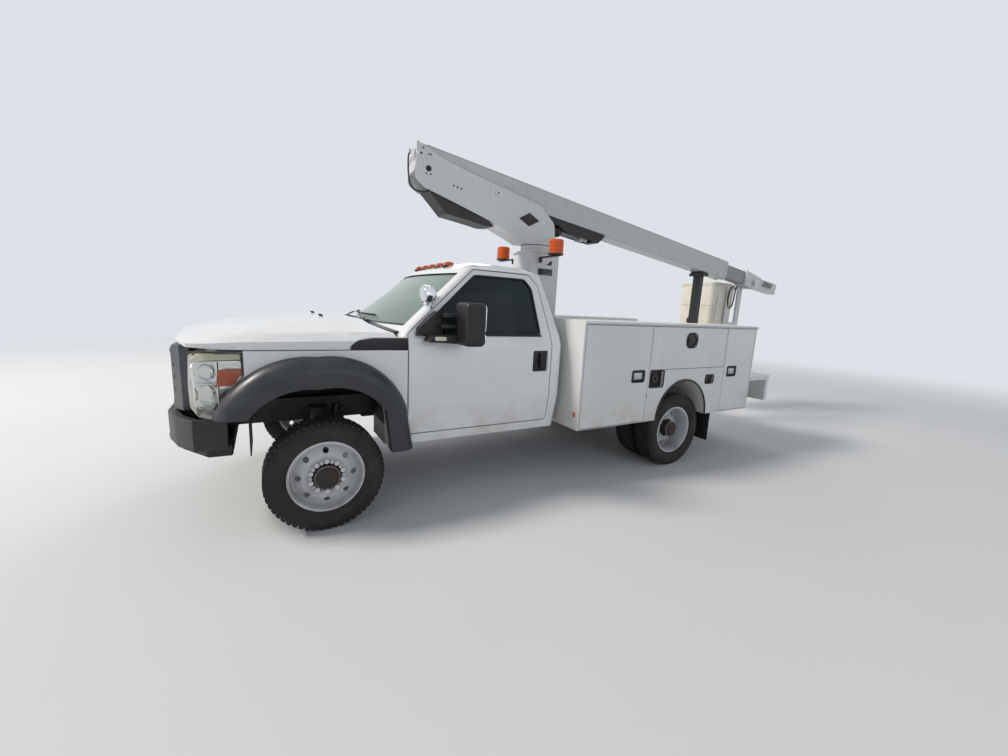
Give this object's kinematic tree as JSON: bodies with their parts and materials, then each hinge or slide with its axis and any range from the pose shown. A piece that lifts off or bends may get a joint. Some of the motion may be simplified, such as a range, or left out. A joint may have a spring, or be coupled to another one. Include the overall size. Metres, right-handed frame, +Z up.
{
  "type": "cherry picker truck",
  "caption": "Two-seat truck with a service body of side lockers and a telescopic aerial lift that swings, raises, extends and keeps its bucket level",
  "frame": {"origin": "middle of the overall length and width, at floor level", "axes": "+X forward, +Y to the truck's left, +Z up"},
  "size_m": [8.2396, 2.62, 3.1109],
  "materials": {
    "cab_paint": "gloss",
    "lift_paint": "gloss",
    "body_paint": "gloss",
    "chassis_black": "satin",
    "cast_grey": "matte",
    "tyre_rubber": "matte",
    "rim_white": "gloss",
    "grille_grey": "satin",
    "flare_plastic": "matte",
    "black_plastic": "satin",
    "window_glass": "clear",
    "lamp_clear": "clear",
    "lamp_amber": "gloss",
    "lamp_red": "gloss",
    "seat_cloth": "matte",
    "steel": "worn",
    "fibreglass_grey": "satin",
    "fibreglass_white": "satin",
    "cover_vinyl": "satin"
  },
  "bodies": {
    "chassis": {"frame_rails": "chassis_black", "front_axle": "cast_grey", "rear_axle": "cast_grey", "springs": "chassis_black", "engine_block": "cast_grey", "driveshaft": "steel", "exhaust": "steel", "fuel_tank": "black_plastic", "cab_shell": "cab_paint", "cab_glass": "window_glass", "bench_seat": "seat_cloth", "dashboard": "black_plastic", "front_fenders": "cab_paint", "fender_flares": "flare_plastic", "headlamps": "lamp_clear", "cowl_panel": "black_plastic", "wheel_liners": "black_plastic", "spotlight": "steel", "front_bumper": "chassis_black", "service_body": "body_paint", "rear_shelf": "body_paint", "tail_lamps": "lamp_red", "amber_lamps": "lamp_amber", "pedestal": "lift_paint", "boom_rest": "chassis_black"},
    "hood": {"hood": "cab_paint", "grille": "grille_grey"},
    "door_left": {"door_left": "cab_paint", "door_glass_left": "window_glass", "mirror_left": "black_plastic"},
    "knuckle_left": {"knuckle_left": "cast_grey"},
    "front_wheel_left": {"front_wheel_left": "rim_white", "front_tyre_left": "tyre_rubber"},
    "rear_wheels_left": {"rear_wheels_left": "rim_white", "rear_tyres_left": "tyre_rubber"},
    "locker_front_left": {"locker_front_left": "body_paint"},
    "locker_rear_left": {"locker_rear_left": "body_paint"},
    "locker_side_left": {"locker_side_left": "body_paint"},
    "door_right": {"door_right": "cab_paint", "door_glass_right": "window_glass", "mirror_right": "black_plastic"},
    "knuckle_right": {"knuckle_right": "cast_grey"},
    "front_wheel_right": {"front_wheel_right": "rim_white", "front_tyre_right": "tyre_rubber"},
    "rear_wheels_right": {"rear_wheels_right": "rim_white", "rear_tyres_right": "tyre_rubber"},
    "locker_front_right": {"locker_front_right": "body_paint"},
    "locker_rear_right": {"locker_rear_right": "body_paint"},
    "locker_side_right": {"locker_side_right": "body_paint"},
    "turret": {"turret": "lift_paint", "turret_cover": "black_plastic"},
    "outer_boom": {"outer_boom": "lift_paint", "boom_housing": "black_plastic"},
    "lift_barrel": {"lift_barrel": "chassis_black"},
    "lift_rod": {"lift_rod": "steel"},
    "inner_boom": {"inner_boom": "fibreglass_grey", "boom_tip": "lift_paint"},
    "platform": {"platform_bracket": "steel", "bucket": "fibreglass_white"},
    "bucket_lid": {"bucket_cover": "cover_vinyl"}
  },
  "joints": [
    {"name": "hood_hinge", "type": "hinge", "parent": "chassis", "child": "hood", "pos_m": [2.64165, 0, 1.532], "axis": [0, -1, 0], "range_deg": [0, 50]},
    {"name": "door_hinge_left", "type": "hinge", "parent": "chassis", "child": "door_left", "pos_m": [2.59965, 1.009, 1.04], "axis": [0, 0, -1], "range_deg": [0, 65]},
    {"name": "steer_left", "type": "hinge", "parent": "chassis", "child": "knuckle_left", "pos_m": [3.18665, 0.88, 0.406], "axis": [0, 0, 1], "range_deg": [-33, 33]},
    {"name": "front_wheel_spin_left", "type": "hinge", "parent": "knuckle_left", "child": "front_wheel_left", "pos_m": [3.18665, 0.925, 0.406], "axis": [0, 1, 0], "continuous": true},
    {"name": "rear_wheel_spin_left", "type": "hinge", "parent": "chassis", "child": "rear_wheels_left", "pos_m": [-0.39435, 1.06, 0.406], "axis": [0, 1, 0], "continuous": true},
    {"name": "locker_front_hinge_left", "type": "hinge", "parent": "chassis", "child": "locker_front_left", "pos_m": [1.03165, 1.205, 1.04], "axis": [0, 0, -1], "range_deg": [0, 110]},
    {"name": "locker_rear_hinge_left", "type": "hinge", "parent": "chassis", "child": "locker_rear_left", "pos_m": [-1.64335, 1.205, 1.04], "axis": [0, 0, 1], "range_deg": [0, 110]},
    {"name": "locker_side_hinge_left", "type": "hinge", "parent": "chassis", "child": "locker_side_left", "pos_m": [-0.41335, 1.205, 1.112], "axis": [-1, 0, 0], "range_deg": [0, 90]},
    {"name": "door_hinge_right", "type": "hinge", "parent": "chassis", "child": "door_right", "pos_m": [2.59965, -1.009, 1.04], "axis": [0, 0, 1], "range_deg": [0, 65]},
    {"name": "steer_right", "type": "hinge", "parent": "chassis", "child": "knuckle_right", "pos_m": [3.18665, -0.88, 0.406], "axis": [0, 0, 1], "range_deg": [-33, 33]},
    {"name": "front_wheel_spin_right", "type": "hinge", "parent": "knuckle_right", "child": "front_wheel_right", "pos_m": [3.18665, -0.925, 0.406], "axis": [0, 1, 0], "continuous": true},
    {"name": "rear_wheel_spin_right", "type": "hinge", "parent": "chassis", "child": "rear_wheels_right", "pos_m": [-0.39435, -1.06, 0.406], "axis": [0, 1, 0], "continuous": true},
    {"name": "locker_front_hinge_right", "type": "hinge", "parent": "chassis", "child": "locker_front_right", "pos_m": [1.03165, -1.205, 1.04], "axis": [0, 0, 1], "range_deg": [0, 110]},
    {"name": "locker_rear_hinge_right", "type": "hinge", "parent": "chassis", "child": "locker_rear_right", "pos_m": [-1.64335, -1.205, 1.04], "axis": [0, 0, -1], "range_deg": [0, 110]},
    {"name": "locker_side_hinge_right", "type": "hinge", "parent": "chassis", "child": "locker_side_right", "pos_m": [-0.41335, -1.205, 1.112], "axis": [1, 0, 0], "range_deg": [0, 90]},
    {"name": "turret_turn", "type": "hinge", "parent": "chassis", "child": "turret", "pos_m": [0.82665, 0, 2.35], "axis": [0, 0, 1], "continuous": true},
    {"name": "boom_lift", "type": "hinge", "parent": "turret", "child": "outer_boom", "pos_m": [2.23565, 0, 3.003], "axis": [0, 1, 0], "range_deg": [0, 80]},
    {"name": "lift_barrel_pin", "type": "hinge", "parent": "turret", "child": "lift_barrel", "pos_m": [1.92165, 0, 2.68], "axis": [0, 1, 0], "range_deg": [0, 82.83]},
    {"name": "lift_rod_slide", "type": "slide", "parent": "lift_barrel", "child": "lift_rod", "axis": [-0.996, 0, -0.0889], "range_m": [0, 0.5784]},
    {"name": "boom_extend", "type": "slide", "parent": "outer_boom", "child": "inner_boom", "axis": [-0.9925, 0, -0.1219], "range_m": [0, 3.7]},
    {"name": "bucket_lid_hinge", "type": "hinge", "parent": "platform", "child": "bucket_lid", "pos_m": [-3.02177, -0.768, 2.201], "axis": [1, 0, 0], "range_deg": [0, 105]},
    {"name": "platform_level", "type": "hinge", "parent": "inner_boom", "child": "platform", "pos_m": [-3.41677, 0, 2.22585], "axis": [0, 1, 0], "range_deg": [-81, 1]}
  ],
  "couplings": [
    {"joint": "steer_right", "follows": "steer_left", "ratio": 1},
    {"joint": "lift_barrel_pin", "follows": "boom_lift", "ratio": 1.0291},
    {"joint": "lift_rod_slide", "follows": "boom_lift", "m_per_rad": 0.41068},
    {"joint": "platform_level", "follows": "boom_lift", "ratio": -1}
  ]
}
